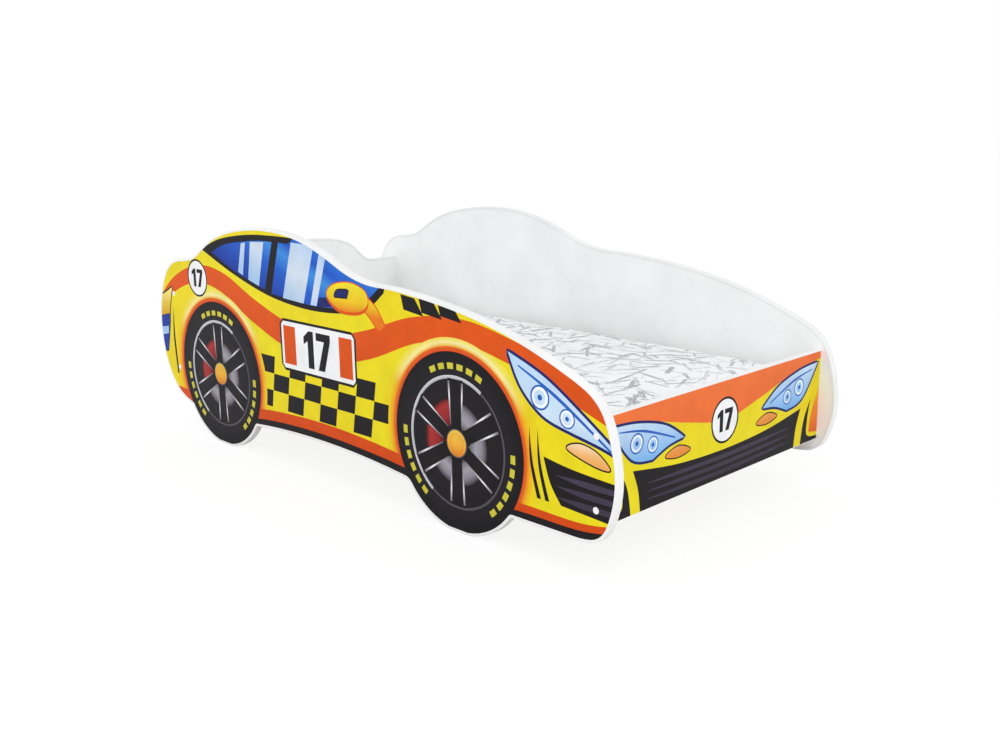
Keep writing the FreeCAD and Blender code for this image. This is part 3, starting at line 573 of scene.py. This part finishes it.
def print_mirror(layout):
    """Door mirror on a short arm."""
    arm = outline([(88, 420), (122, 398), (150, 372)], [(172, 384), (146, 418), (112, 440)])
    layout.bordered("mirror", "red", arm, 3)
    pod = blob((-22, 428), (0, 452), (58, 462), (108, 450), (118, 424), (86, 404), (20, 402))
    layout.add("red", [(u, v - 5) for u, v in swollen(pod, 2)])
    layout.bordered("mirror", "red", pod, 2.5)
    layout.bordered("navy", "black", outline([(4, 428), (16, 442), (54, 446)], [(48, 430)]), 3)


def print_head_lamp(layout):
    """Swept lamp with two round lenses."""
    shell = outline([(520, 384), (610, 350), (700, 296), (790, 236)], [(790, 236), (740, 250), (676, 262)],
                    [(676, 262), (606, 280), (552, 324), (520, 384)])
    layout.bordered("lamp", "navy", shell, 6)
    layout.add("divider", ribbon([(545, 362, 3), (640, 318, 7), (760, 246, 4)]))
    layout.lens((598, 312), 23)
    layout.lens((662, 285), 18)


def print_nose(layout):
    """Indicator, air intake and slits on the side's nose, and slanted marks on the bonnet."""
    layout.bordered("amber", "black", blob((662, 232), (690, 246), (730, 238), (758, 214), (722, 214)), 3)
    layout.add("black", outline([(606, 206), (680, 196), (790, 190)], [(790, 116)],
                                [(648, 124), (622, 160), (606, 206)]))
    for height in (178, 158, 138):
        layout.add("bar", outline([(634, height), (700, height + 3), (790, height + 2)],
                                  [(790, height - 7), (700, height - 8), (634, height)]))
    for left in (572, 592):
        layout.add("black", outline([(left, 256), (left + 8, 190), (left + 28, 124)],
                                    [(left + 18, 124), (left + 1, 190), (left, 256)]))
    for left in (232, 286, 340):
        layout.add("black", [(left, 426), (left + 60, 419), (left + 34, 452), (left - 8, 456)])


def print_tail(layout):
    """Tail lamp, slit and race number on the rear wing."""
    lamp = outline([(-790, 344), (-744, 358), (-700, 378)],
                   [(-700, 378), (-718, 326), (-730, 270), (-748, 206)], [(-790, 200)])
    layout.bordered("signal", "black", lamp, 4)
    lower = outline([(-790, 290)], [(-724, 304), (-733, 258), (-748, 206)], [(-790, 200)])
    layout.bordered("glass", "navy", lower, 3)
    layout.add("shine", [(-790, 262), (-735, 272), (-738, 252), (-790, 240)])
    layout.add("black", outline([(-700, 330), (-712, 250), (-706, 150)],
                                [(-698, 150), (-704, 250), (-700, 330)]))
    layout.roundel((-566, 414), 47)


def print_door(layout):
    """White number plate with a dark border."""
    layout.bordered("white", "black", [(-196, 244), (58, 244), (66, 252), (66, 344), (58, 352), (-196, 352),
                                       (-204, 344), (-204, 252)], 6)
    for left in (-196, 12):
        layout.add("red", [(left, 254), (left + 46, 254), (left + 46, 342), (left, 342)])
    layout.numbered((-69, 298), 84)


def side_layout():
    """The car's side, seen with its nose to the right. What reaches past the board's outline is cut off."""
    layout = Layout()
    layout.add("red", ribbon([(-800, 300, 20), (-690, 384, 34), (-566, 424, 44), (-450, 414, 50),
                              (-320, 362, 56), (-180, 320, 60), (-40, 308, 62), (110, 338, 60),
                              (260, 388, 52), (400, 404, 46), (540, 380, 46), (670, 342, 50),
                              (800, 300, 54)]))
    print_chequers(layout)
    layout.add("red", outline([(-800, 122), (-640, 112), (-487, 110), (-250, 130), (-55, 137), (150, 128),
                               (378, 104), (560, 104), (700, 104), (800, 122)], [(800, -60), (-800, -60)]))
    layout.add("black", outline([(-640, 92), (-487, 82), (-250, 105), (-55, 111), (150, 103), (378, 84),
                                 (560, 88), (700, 90), (800, 110)], [(800, -60), (-640, -60)]))
    for hub in HUBS:
        layout.add("yellow", ring_part(hub, 150, 207, -16, 196))
    for draw in (print_glass, print_mirror, print_head_lamp, print_nose, print_tail, print_door):
        draw(layout)
    for hub in HUBS:
        print_wheel(layout, hub)
    return layout


def front_layout():
    """The car's face on the front panel, u across the bed."""
    layout = Layout()
    layout.add("orange", outline([(-380, 286), (-250, 270), (-120, 240), (0, 220), (120, 240), (250, 270),
                                  (380, 286)], [(380, 324), (-380, 324)]))
    layout.add("black", outline([(-282, 186), (-150, 168), (0, 162), (150, 168), (282, 186)],
                                [(282, 186), (266, 144), (258, 84)], [(-258, 84), (-266, 144), (-282, 186)]))
    for height in (149, 134, 119):
        layout.add("bar", ribbon([(-240, height + 4, 1), (-130, height + 1, 8), (0, height - 1, 9),
                                  (130, height + 1, 8), (240, height + 4, 1)]))
    corner = outline([(322, 200), (296, 154), (284, 84)], [(390, 84)],
                     [(390, 112), (318, 118), (312, 154), (322, 200)])
    glow = outline([(352, 220), (326, 164), (320, 126)], [(390, 116), (390, 208)])
    shell = outline([(344, 276), (270, 270), (190, 250), (132, 216)], [(132, 216), (180, 210), (226, 194)],
                    [(226, 194), (286, 208), (344, 276)])
    divider = ribbon([(322, 264, 2), (250, 252, 5), (160, 221, 3)])
    indicator = blob((112, 188), (150, 202), (188, 190), (150, 181))
    for side in (-1, 1):
        layout.add("black", turned(corner, side))
        layout.add("flame", turned(glow, side))
        layout.bordered("lamp", "navy", turned(shell, side), 5)
        layout.add("divider", turned(divider, side))
        layout.lens((side * 272, 234), 19)
        layout.lens((side * 226, 222), 16)
        layout.bordered("amber", "black", turned(indicator, side), 2.5)
    layout.roundel((0, 220), 46)
    return layout


# ---- Making pieces ----

# Metres within which corners merge, also on small turned parts, and within which a face lies in a plane; and
# the angle from which an edge stays sharp
MERGE = 1e-6
MERGE_SMALL = 1e-7
FLAT = 1e-5
SHARP = math.radians(35)


def linked(name, data):
    """An object of that data in the scene."""
    made = bpy.data.objects.new(name, data)
    bpy.context.scene.collection.objects.link(made)
    return made


def meshed(name, maker):
    """An object in the scene from a bmesh, which is freed."""
    mesh = bpy.data.meshes.new(name)
    maker.to_mesh(mesh)
    maker.free()
    return linked(name, mesh)


def evaluated(thing):
    """A mesh of an object as it looks with its modifiers or its bevel."""
    return bpy.data.meshes.new_from_object(thing.evaluated_get(bpy.context.evaluated_depsgraph_get()))


def whole(maker):
    return maker.verts[:] + maker.edges[:] + maker.faces[:]


def picked(items, kind):
    return [item for item in items if isinstance(item, kind)]


def node_bmesh(node):
    """A CAD node's mesh with its corners merged."""
    maker = bmesh.new()
    maker.from_mesh(NODES[node].data)
    bmesh.ops.remove_doubles(maker, verts=maker.verts, dist=MERGE)
    return maker


def finished(name, maker, materials, body, slot, *nodes):
    """An object from a bmesh, riding on its body and standing for its CAD nodes."""
    piece = meshed(name, maker)
    for material in materials:
        piece.data.materials.append(material)
    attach(piece, body)
    if nodes:
        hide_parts(*nodes)
    return piece


def smooth_shade(piece):
    """Smooth faces, with the sharper corners kept."""
    maker = bmesh.new()
    maker.from_mesh(piece.data)
    for face in maker.faces:
        face.smooth = True
    for edge in maker.edges:
        edge.smooth = len(edge.link_faces) == 2 and edge.calc_face_angle() < SHARP
    maker.to_mesh(piece.data)
    maker.free()


def edge_loop(node, axis, place):
    """The longest edge loop of a node's flat face, as points of its other two axes in millimetres."""
    maker = node_bmesh(node)
    flat = {face for face in maker.faces if all(abs(v.co[axis] - place) < FLAT for v in face.verts)}
    links = {}
    for edge in maker.edges:
        if sum(face in flat for face in edge.link_faces) == 1:
            for vert in edge.verts:
                links.setdefault(vert, []).append(edge.other_vert(vert))
    loops = []
    while links:
        start = next(iter(links))
        loop, here = [start], links.pop(start)[0]
        while here in links:
            loop.append(here)
            ahead = [vert for vert in links.pop(here) if vert in links]
            here = ahead[0] if ahead else None
        loops.append(loop)
    longest = max(loops, key=lambda loop: sum((a.co - b.co).length for a, b in zip(loop, loop[1:])))
    line = [tuple(vert.co[i] / MM for i in range(3) if i != axis) for vert in longest]
    maker.free()
    return line


def print_skin(name, area, layout, place, outward):
    """A thin printed skin over an area: each part of it has the ink of the topmost shape that covers it."""
    lines = [anticlockwise(line) for line in [area] + [line for _, line, _ in layout.shapes]]
    inks = ["yellow"] + [ink for ink, _, _ in layout.shapes]
    points, loops = [], []
    for line in lines:
        loops.append(list(range(len(points), len(points) + len(line))))
        points.extend(Vector(point) for point in line)
    inside_only, closeness = 1, 1e-4
    verts, _, faces, _, _, origins = delaunay_2d_cdt(points, [], loops, inside_only, closeness, True)
    used = sorted(set(inks), key=inks.index)
    maker = bmesh.new()
    corners = [maker.verts.new(place(*vert)) for vert in verts]
    for face, covers in zip(faces, origins):
        if 0 in covers:
            made = maker.faces.new([corners[i] for i in face])
            made.material_index = used.index(inks[max(covers)])
    bmesh.ops.delete(maker, geom=[vert for vert in maker.verts if not vert.link_faces], context="VERTS")
    for face in maker.faces:
        face.normal_update()
    if sum(face.normal.dot(outward) * face.calc_area() for face in maker.faces) < 0:
        bmesh.ops.reverse_faces(maker, faces=maker.faces)
    back = bmesh.ops.duplicate(maker, geom=whole(maker))["geom"]
    rims = [edge for edge in maker.edges if edge.is_boundary]
    bmesh.ops.translate(maker, verts=picked(back, bmesh.types.BMVert), vec=outward * -PRINT_DEPTH * MM)
    bmesh.ops.reverse_faces(maker, faces=picked(back, bmesh.types.BMFace))
    bmesh.ops.bridge_loops(maker, edges=rims)
    finished(name, maker, [INKS[ink] for ink in used], "root", "printed_board")


def swept(name, line, section, closed, place, *nodes):
    """A section drawn along a flat line. Its x points to an open line's right and into a closed one, its y
    out of the plane."""
    shapes = []
    for points, cyclic in ((line, closed), (section, True)):
        curve = bpy.data.curves.new(name, "CURVE")
        curve.dimensions = "2D"
        curve.fill_mode = "NONE"
        spline = curve.splines.new("POLY")
        spline.points.add(len(points) - 1)
        for point, (u, v) in zip(spline.points, points):
            point.co = (u * MM, v * MM, 0, 1)
        spline.use_cyclic_u = cyclic
        shapes.append(linked(name, curve))
    path, profile = shapes
    path.data.bevel_mode = "OBJECT"
    path.data.bevel_object = profile
    path.data.use_fill_caps = not closed
    bpy.context.view_layer.update()
    maker = bmesh.new()
    maker.from_mesh(evaluated(path))
    for shape in shapes:
        bpy.data.objects.remove(shape)
    for vert in maker.verts:
        vert.co = place(*vert.co)
    bmesh.ops.remove_doubles(maker, verts=maker.verts, dist=MERGE)
    bmesh.ops.recalc_face_normals(maker, faces=maker.faces)
    smooth_shade(finished(name, maker, [EDGING], "root", "white_edging", *nodes))


def clip_section(thickness):
    """The soft profile's section round a board: rounded rim, and a lip over each face."""
    half = thickness / 2
    crown, rounding, bevel = half + LIP_DEPTH, 1.3, 0.45
    corner = [(RIM - rounding * (1 - math.cos(t)), crown - rounding * (1 - math.sin(t)))
              for t in [math.pi / 2 * i / 4 for i in range(5)]]
    lip = [(0, half), (-LIP, half), (-LIP, crown - bevel), (-LIP + bevel, crown)]
    top = lip + corner[::-1]
    return top + [(out, -across) for out, across in reversed(top)]


def spun(profile, steps):
    """A bmesh turned about Z from (radius, height) points in millimetres that start and end on the axis."""
    maker = bmesh.new()
    verts = [maker.verts.new((radius * MM, 0, height * MM)) for radius, height in profile]
    edges = [maker.edges.new(pair) for pair in zip(verts, verts[1:])]
    bmesh.ops.spin(maker, geom=verts + edges, axis=(0, 0, 1), cent=(0, 0, 0), angle=2 * math.pi, steps=steps,
                   use_merge=True)
    bmesh.ops.remove_doubles(maker, verts=maker.verts, dist=MERGE_SMALL)
    bmesh.ops.recalc_face_normals(maker, faces=maker.faces)
    return maker


def solid_boxes(node):
    """The lowest and highest corner of each separate solid in a node."""
    maker = node_bmesh(node)
    seen, boxes = set(), []
    for first in maker.verts:
        if first in seen:
            continue
        seen.add(first)
        stack, found = [first], []
        while stack:
            vert = stack.pop()
            found.append(vert.co.copy())
            for edge in vert.link_edges:
                other = edge.other_vert(vert)
                if other not in seen:
                    seen.add(other)
                    stack.append(other)
        boxes.append(tuple(Vector(pick(co[i] for co in found) for i in range(3)) for pick in (min, max)))
    maker.free()
    return boxes


def fasteners(name, maker, spots, material, slot, *nodes):
    """Copies of one fastener, each turned from Z to its own direction and set on its spot."""
    original = whole(maker)
    for point, direction in spots:
        copy = bmesh.ops.duplicate(maker, geom=original)["geom"]
        turn = Vector((0, 0, 1)).rotation_difference(direction).to_matrix().to_4x4()
        bmesh.ops.transform(maker, matrix=Matrix.Translation(point) @ turn,
                            verts=picked(copy, bmesh.types.BMVert))
    bmesh.ops.delete(maker, geom=picked(original, bmesh.types.BMVert), context="VERTS")
    smooth_shade(finished(name, maker, [material], "root", slot, *nodes))


def cap_spots(node):
    """Where a node's cover caps sit, on the side panels' outer faces."""
    spots = []
    for low, high in solid_boxes(node):
        middle = (low + high) / 2
        side = math.copysign(1, middle.y)
        spots.append((Vector((middle.x, side * PANEL_FACE * MM, middle.z)), Vector((0, side, 0))))
    return spots


def cover_cap():
    """Slightly domed cap with a rounded rim."""
    return spun([(0, 0.0), (6.5, 0.0), (6.5, 0.35), (6.2, 0.75), (5.4, 1.02), (3.5, 1.15), (0, 1.2)], 40)


def wood_screw(length):
    """Countersunk screw with a cross recess and a threaded shank, its head's face at the origin."""
    head, neck, core, crest, pitch = 3.9, 2.0, 1.5, 1.95, 1.6
    thread_start, point = 3.0, 2.2
    profile = [(0, 0.0), (head, 0.0), (head, -0.25), (neck, -2.3)]
    for index in range(int((length - 6) / pitch)):
        up = -thread_start - index * pitch
        profile.extend([(core, up), (crest, up - 0.5), (core, up - 1.0)])
    profile.extend([(core, -length + point), (0, -length)])
    cross = bmesh.new()
    for turn in (0, math.pi / 2):
        bar = bmesh.ops.create_cube(cross, size=1.0)["verts"]
        bmesh.ops.scale(cross, vec=(4.4 * MM, 0.9 * MM, 3.0 * MM), verts=bar)
        bmesh.ops.rotate(cross, cent=(0, 0, 0), matrix=Matrix.Rotation(turn, 3, "Z"), verts=bar)
    blank, tool = meshed("screw_part", spun(profile, 24)), meshed("screw_part", cross)
    carve = blank.modifiers.new("recess", "BOOLEAN")
    carve.object = tool
    carve.operation = "DIFFERENCE"
    carve.solver = "EXACT"
    carve.use_self = True
    bpy.context.view_layer.update()
    made = bmesh.new()
    made.from_mesh(evaluated(blank))
    for part in (blank, tool):
        bpy.data.objects.remove(part)
    return made


def screw_spots(node):
    """Each screw's head and the way that it faces, from its solid: along the box's longest side."""
    spots = []
    for low, high in solid_boxes(node):
        size = high - low
        axis = max(range(3), key=lambda i: size[i])
        point = (low + high) / 2
        if axis == 2:
            point.z = high.z
            spots.append((point, Vector((0, 0, 1))))
        else:
            side = math.copysign(1, point.y)
            point.y = low.y if side > 0 else high.y
            spots.append((point, Vector((0, -side, 0))))
    return spots


# ---- Mattress ----

def fallen(radius, past):
    """How far a rounded edge has fallen away, at a distance past its start."""
    return radius - math.sqrt(max(0.0, radius ** 2 - min(radius, past) ** 2))


def mattress_block(half):
    """A fine block of those half sizes: rounded corners and borders, waisted long sides and a crowned top."""
    maker = bmesh.new()
    bmesh.ops.create_cube(maker, size=2.0)
    bmesh.ops.scale(maker, vec=half, verts=maker.verts)
    for axis, count in ((0, 96), (1, 48), (2, 8)):
        for index in range(1, count):
            place, normal = Vector((0, 0, 0)), Vector((0, 0, 0))
            place[axis] = half[axis] * (2 * index / count - 1)
            normal[axis] = 1
            bmesh.ops.bisect_plane(maker, geom=whole(maker), plane_co=place, plane_no=normal)
    corner, border, waist, end_drop, side_drop = 42 * MM, 15 * MM, 5 * MM, 4, 5
    for vert in maker.verts:
        out = vert.co
        flat = Vector((max(-half.x + corner, min(half.x - corner, out.x)),
                       max(-half.y + corner, min(half.y - corner, out.y)), 0))
        away = Vector((out.x, out.y, 0)) - flat
        reach = max(abs(away.x), abs(away.y))
        near = max(0.0, reach - (corner - border))
        rise = max(0.0, abs(out.z) - (half.z - border))
        plan = flat + away.normalized() * max(0.0, reach - fallen(border, rise) * (near / border))
        height = math.copysign(abs(out.z) - fallen(border, near) * (rise / border), out.z)
        bow = (plan.x / half.x) ** 2
        plan.y *= 1 - waist * (1 - bow) / half.y
        if height > 0:
            side = min(1.0, abs(plan.y) / half.y)
            height -= (end_drop * bow + side_drop * side ** 2) * MM * (height / half.z)
        vert.co = Vector((plan.x, plan.y, height))
    bmesh.ops.recalc_face_normals(maker, faces=maker.faces)
    return maker


def mattress():
    """Foam mattress in a knitted cover: a block with a sewn seam round its middle, swollen as cloth."""
    low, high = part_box("mattress_cover")
    middle = (low + high) / 2
    inset, most_swell, seam_depth, seam_width = 2.5 * MM, 3 * MM, 1.8 * MM, 2.2 * MM
    dimples = ((9, 0.9), (31, 0.35))
    half = (high - low) / 2 - Vector((inset, inset, inset))
    piece = meshed("mattress", mattress_block(half))
    mesh = piece.data
    rest = [vert.co.copy() for vert in mesh.vertices]
    swell(piece)
    for vert, start in zip(mesh.vertices, rest):
        moved = vert.co - start
        if moved.length > most_swell:
            moved = moved.normalized() * most_swell
        dimple = sum(noise.noise(start * often) * depth * MM for often, depth in dimples)
        seam = seam_depth * math.exp(-(start.z / seam_width) ** 2)
        out = Vector((start.x / half.x, start.y / half.y, 0))
        away = Vector((start.x, 0, 0)) if abs(out.x) > abs(out.y) else Vector((0, start.y, 0))
        vert.co = start + moved + Vector((0, 0, dimple if start.z > 0 else 0)) - away.normalized() * seam
    lift = low.z - min(vert.co.z for vert in mesh.vertices) - middle.z
    mesh.transform(Matrix.Translation(middle + Vector((0, 0, lift))))
    mesh.materials.append(mattress_finish())
    for polygon in mesh.polygons:
        polygon.use_smooth = True
    finer = piece.modifiers.new("soften", "SUBSURF")
    finer.levels = finer.render_levels = 1
    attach(piece, "mattress")
    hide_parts("mattress_cover", "mattress_foam")


def swell(piece):
    """Cloth under a little pressure, held along its seam and its underside."""
    underside, seam_half, hold, frames = -0.02, 0.006, 0.7, 20
    held = piece.vertex_groups.new(name="held")
    for vert in piece.data.vertices:
        if vert.co.z < underside or abs(vert.co.z) < seam_half:
            held.add([vert.index], hold, "REPLACE")
    cloth = piece.modifiers.new("swell", "CLOTH")
    cloth.settings.use_pressure = True
    cloth.settings.uniform_pressure_force = 3.0
    cloth.settings.vertex_group_mass = "held"
    cloth.settings.effector_weights.gravity = 0
    cloth.settings.tension_stiffness = cloth.settings.compression_stiffness = 25
    scene = bpy.context.scene
    for moment in range(1, frames + 1):
        scene.frame_set(moment)
    for vert, final in zip(piece.data.vertices, evaluated(piece).vertices):
        vert.co = final.co
    piece.modifiers.remove(cloth)
    scene.frame_set(1)


# ---- Assembly ----

def dress(node, material):
    """A carried-over CAD node with a finish of its own."""
    NODES[node].data.materials.clear()
    NODES[node].data.materials.append(material)


def side_panels():
    """Printed skins and soft edging on both side panels."""
    board = edge_loop("side_panel_right", 1, -PANEL_FACE * MM)
    window = swollen(board, PRINT_OVERLAP - LIP)
    layout = side_layout()
    middle = (PANEL_FACE + PANEL_BACK) / 2
    section = [(-out, across) for out, across in clip_section(PANEL_FACE - PANEL_BACK)]
    for name, side, shapes in (("right", -1, layout), ("left", 1, layout.mirrored())):
        face = side * (PANEL_FACE + PRINT_DEPTH) * MM
        print_skin(f"side_print_{name}", window, shapes, lambda u, v, y=face: Vector((u * MM, y, v * MM)),
                   Vector((0, side, 0)))
        swept(f"edging_{name}", board, section, True,
              lambda x, y, z, s=side: Vector((x, s * middle * MM + z, y)), f"edge_profile_{name}")
        dress(f"side_panel_{name}", WHITE_BOARD)


def front_panel():
    """Printed skin on the front panel."""
    low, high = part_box("front_panel")
    half, foot, top = PANEL_BACK - PRINT_GAP, low.z / MM, high.z / MM
    area = [(-half, foot), (half, foot), (half, top), (-half, top)]
    face = high.x + PRINT_DEPTH * MM
    print_skin("front_print", area, front_layout(), lambda u, v: Vector((face, u * MM, v * MM)),
               Vector((1, 0, 0)))
    dress("front_panel", WHITE_BOARD)
    dress("front_panel_edge_bands", EDGING)


def headboard():
    """Soft edging along the headboard's shaped top."""
    low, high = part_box("headboard")
    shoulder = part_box("headboard_edge_profile")[0].z / MM
    top = sorted((point for point in edge_loop("headboard", 0, high.x) if point[1] > shoulder),
                 key=lambda point: point[0])[::-1]
    middle = (low.x + high.x) / 2
    swept("edging_headboard", top, clip_section((high.x - low.x) / MM), False,
          lambda x, y, z: Vector((middle + z, x, y)), "headboard_edge_profile")
    dress("headboard", WHITE_BOARD)


def base():
    """Slats, rails, webbing and their fasteners."""
    across = pine_finish("pine_slats", 1)
    along = pine_finish("pine_rails", 0)
    webbing = webbing_finish()
    for node in NODES:
        if node.startswith("slat_") and node[5:].isdigit():
            dress(node, across)
        elif node.startswith("side_rail"):
            dress(node, along)
        elif node.startswith("slat_webbing"):
            dress(node, webbing)
    for node in ("slat_staples", "front_panel_screws", "headboard_screws"):
        dress(node, STEEL)
    for name, length, node in (("rail_screw_set", 40, "rail_screws"),
                               ("end_slat_screw_set", 45, "end_slat_screws")):
        fasteners(name, wood_screw(length), screw_spots(node), STEEL, "zinc_steel", node)
    for node in ("front_screw_caps", "headboard_screw_caps"):
        fasteners(node.replace("screw_caps", "cap_set"), cover_cap(), cap_spots(node), CAP_PLASTIC,
                  "white_cap", node)


def studio():
    """White floor and surroundings, two soft lamps and the camera."""
    scene = bpy.context.scene
    scene.world = bpy.data.worlds.new("studio")
    scene.world.use_nodes = True
    sky = Nodes(scene.world.node_tree)
    sky.tree.nodes.clear()
    rays = sky.node("LightPath").outputs
    seen = sky.math("MAXIMUM", rays["Is Camera Ray"], rays["Is Glossy Ray"])
    seen = sky.math("MAXIMUM", seen, rays["Is Transmission Ray"])
    cool, white = (0.97, 0.985, 1.0, 1.0), (1, 1, 1, 1)
    light = sky.node("Background", cool, 0.9).outputs[0]
    view = sky.node("Background", white, 1.0).outputs[0]
    sky.node("OutputWorld", sky.node("MixShader", seen, light, view).outputs[0])

    maker = bmesh.new()
    bmesh.ops.create_grid(maker, x_segments=1, y_segments=1, size=40.0)
    floor = meshed("floor", maker)
    finish = Finish("floor_white", 0.9)
    finish.colour(paint("FCFCFC"))
    glow, glow_share = finish.node("Emission", white, 1.03), 0.85
    share = finish.math("MULTIPLY", finish.node("LightPath").outputs["Is Camera Ray"], glow_share)
    blend = finish.node("MixShader", share, finish.shader.outputs[0], glow.outputs[0])
    finish.feed(finish.tree.nodes["Material Output"].inputs["Surface"], blend.outputs[0])
    floor.data.materials.append(finish.material)

    aim = Vector((0, 0, 0.25))
    for name, place, size, power, tint in (("key", (2.6, -1.6, 2.8), 2.2, 29, (1.0, 0.985, 0.965)),
                                           ("fill", (-1.8, -3.0, 1.6), 2.4, 11, (0.97, 0.985, 1.0))):
        data = bpy.data.lights.new(name, "AREA")
        data.shape = "DISK"
        data.size = size
        data.energy = power
        data.color = tint
        lamp = linked(name, data)
        lamp.location = place
        lamp.rotation_euler = (aim - Vector(place)).to_track_quat("-Z", "Y").to_euler()

    scene.view_settings.view_transform = "Standard"
    data = bpy.data.cameras.new("camera")
    data.sensor_width = 36
    data.lens = 38.54
    camera = linked("camera", data)
    aim, distance = Vector((0.1228, 0, 0.21036)), 2.48073
    azimuth, elevation, roll = math.radians(45.43), math.radians(13.45), math.radians(-0.81)
    back = Vector((math.sin(azimuth) * math.cos(elevation), -math.cos(azimuth) * math.cos(elevation),
                   math.sin(elevation)))
    right = (-back).cross(Vector((0, 0, 1))).normalized()
    up = right.cross(-back)
    level, tilt = math.cos(roll), math.sin(roll)
    axes = (right * level + up * tilt, up * level - right * tilt, back)
    turn = Matrix([[axis[i] for axis in axes] for i in range(3)]).to_4x4()
    camera.matrix_world = Matrix.Translation(aim + back * distance) @ turn
    scene.camera = camera


studio()
side_panels()
front_panel()
headboard()
base()
mattress()
